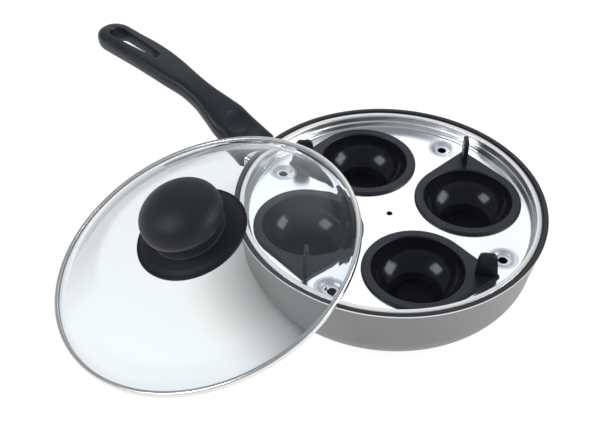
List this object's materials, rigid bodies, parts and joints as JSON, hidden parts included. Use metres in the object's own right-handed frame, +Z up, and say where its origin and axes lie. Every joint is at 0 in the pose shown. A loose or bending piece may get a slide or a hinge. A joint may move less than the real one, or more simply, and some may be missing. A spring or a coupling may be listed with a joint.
{
  "type": "egg poacher pan",
  "caption": "Round pan with a long black handle, holding a tray of lift-out egg cups, with its domed glass lid leaned against the rim.",
  "frame": {"origin": "centre of the pan's flat base, on the surface that it stands on", "axes": "+Z up along the pan's axis, handle along -X"},
  "size_m": [0.3552, 0.2983, 0.09],
  "materials": {
    "pan_paint": "satin metallic grey paint, bare bright line at the rim",
    "bracket_steel": "plain stamped steel",
    "rivet_metal": "satin",
    "guard_steel": "polished",
    "handle_plastic": "satin black heat-resistant plastic",
    "tray_aluminium": "spun and polished",
    "cup_coating": "black non-stick coating, glossy in the bowl",
    "lid_rim_steel": "polished stainless",
    "lid_clear_glass": "clear, slightly green at its edge",
    "seal_rubber": "matte",
    "knob_plastic": "satin black heat-resistant plastic",
    "insert_brass": "satin",
    "fastener_steel": "zinc-plated"
  },
  "bodies": {
    "pan": {"pan_floor": "pan_paint", "pan_wall": "pan_paint", "handle_bracket": "bracket_steel", "bracket_rivets": "rivet_metal", "flame_guard": "guard_steel", "handle": "handle_plastic", "handle_insert": "insert_brass", "handle_screw": "fastener_steel", "handle_washer": "fastener_steel"},
    "tray": {"tray_floor": "tray_aluminium", "tray_wall": "tray_aluminium"},
    "cup_right_body": {"cup_right": "cup_coating"},
    "cup_back_body": {"cup_back": "cup_coating"},
    "cup_left_body": {"cup_left": "cup_coating"},
    "cup_front_body": {"cup_front": "cup_coating"},
    "lid": {"lid_rim": "lid_rim_steel", "lid_glass": "lid_clear_glass", "glass_seal_top": "seal_rubber", "glass_seal_under": "seal_rubber", "knob_base": "knob_plastic", "knob": "knob_plastic", "knob_insert": "insert_brass", "knob_washer": "fastener_steel", "knob_screw": "fastener_steel"}
  },
  "joints": [
    {"name": "tray_lift", "type": "slide", "parent": "pan", "child": "tray", "axis": [0, 0, 1], "range_m": [0, 0.045]},
    {"name": "cup_right_lift", "type": "slide", "parent": "tray", "child": "cup_right_body", "axis": [0, 0, 1], "range_m": [0, 0.045]},
    {"name": "cup_back_lift", "type": "slide", "parent": "tray", "child": "cup_back_body", "axis": [0, 0, 1], "range_m": [0, 0.045]},
    {"name": "cup_left_lift", "type": "slide", "parent": "tray", "child": "cup_left_body", "axis": [0, 0, 1], "range_m": [0, 0.045]},
    {"name": "cup_front_lift", "type": "slide", "parent": "tray", "child": "cup_front_body", "axis": [0, 0, 1], "range_m": [0, 0.045]},
    {"name": "lid_lift", "type": "slide", "parent": "cup_left_body", "child": "lid", "axis": [0, 0, 1], "range_m": [0, 0.1]}
  ]
}
